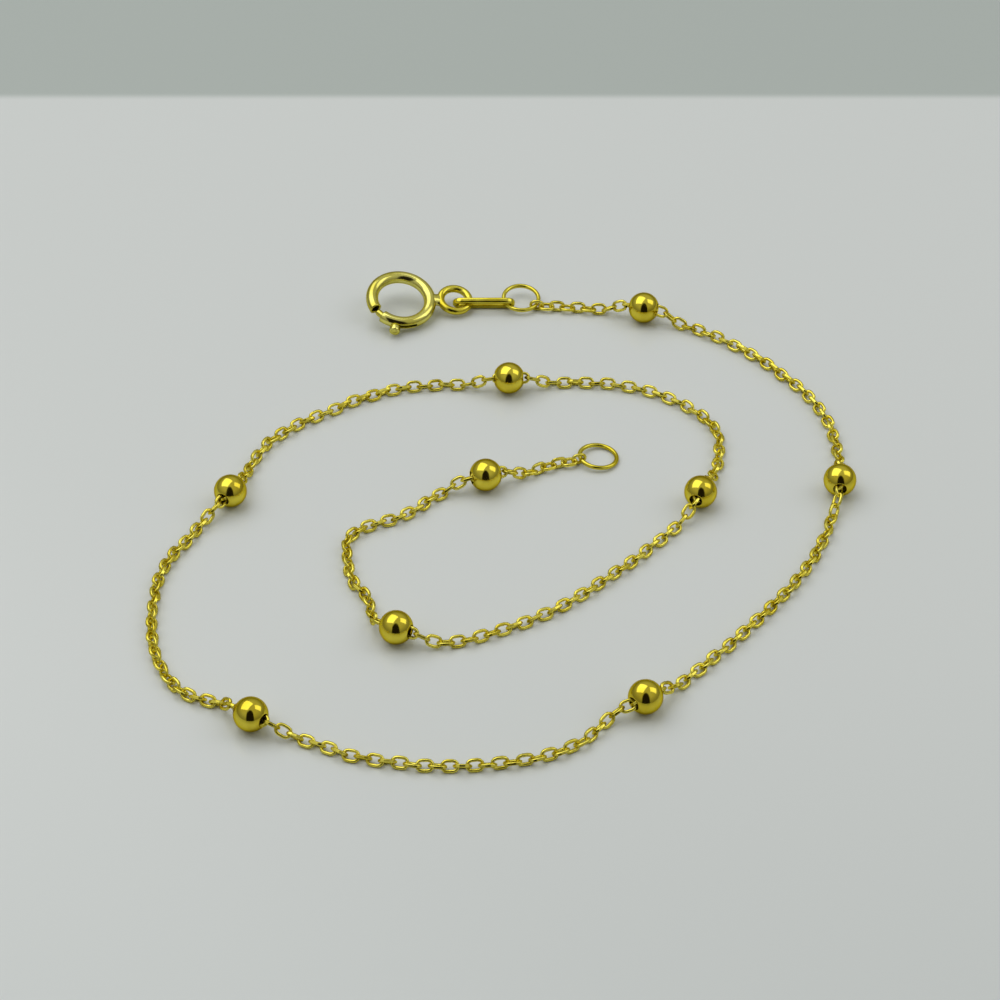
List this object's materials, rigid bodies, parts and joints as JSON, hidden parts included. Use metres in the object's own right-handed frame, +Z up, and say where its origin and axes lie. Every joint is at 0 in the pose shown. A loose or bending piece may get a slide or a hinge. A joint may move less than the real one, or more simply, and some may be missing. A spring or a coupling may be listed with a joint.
{
  "type": "chain anklet",
  "caption": "Fine cable chain anklet with round bead stations, a spring ring clasp and an end ring, unfastened and laid in an open spiral.",
  "frame": {"origin": "middle of the laid-out anklet's bounding box, on the surface it lies on", "axes": "+Z up from the surface, +X to the viewer's right, +Y away from the viewer, towards the clasp"},
  "size_m": [0.0484, 0.0514, 0.0024],
  "materials": {
    "link_gold": "polished yellow gold wire",
    "bead_gold": "mirror polished yellow gold",
    "ring_gold": "polished yellow gold",
    "clasp_gold": "bright polished yellow gold"
  },
  "bodies": {
    "anklet": {"clasp_body": "clasp_gold", "oval_link": "ring_gold", "jump_ring": "ring_gold", "first_link": "link_gold", "chain": "link_gold", "bead_1": "bead_gold", "bead_2": "bead_gold", "bead_3": "bead_gold", "bead_4": "bead_gold", "bead_5": "bead_gold", "bead_6": "bead_gold", "bead_7": "bead_gold", "bead_8": "bead_gold", "bead_9": "bead_gold", "last_link": "link_gold", "end_ring": "ring_gold"},
    "latch": {"clasp_latch": "clasp_gold"}
  },
  "joints": [
    {"name": "latch_turn", "type": "hinge", "parent": "anklet", "child": "latch", "pos_m": [-0.0081, 0.02308, 0.00128], "axis": [0.1511, -0.2466, 0.9573], "range_deg": [0, 32], "stiffness_Nm_per_rad": 0.002, "springref_deg": -20.05}
  ]
}
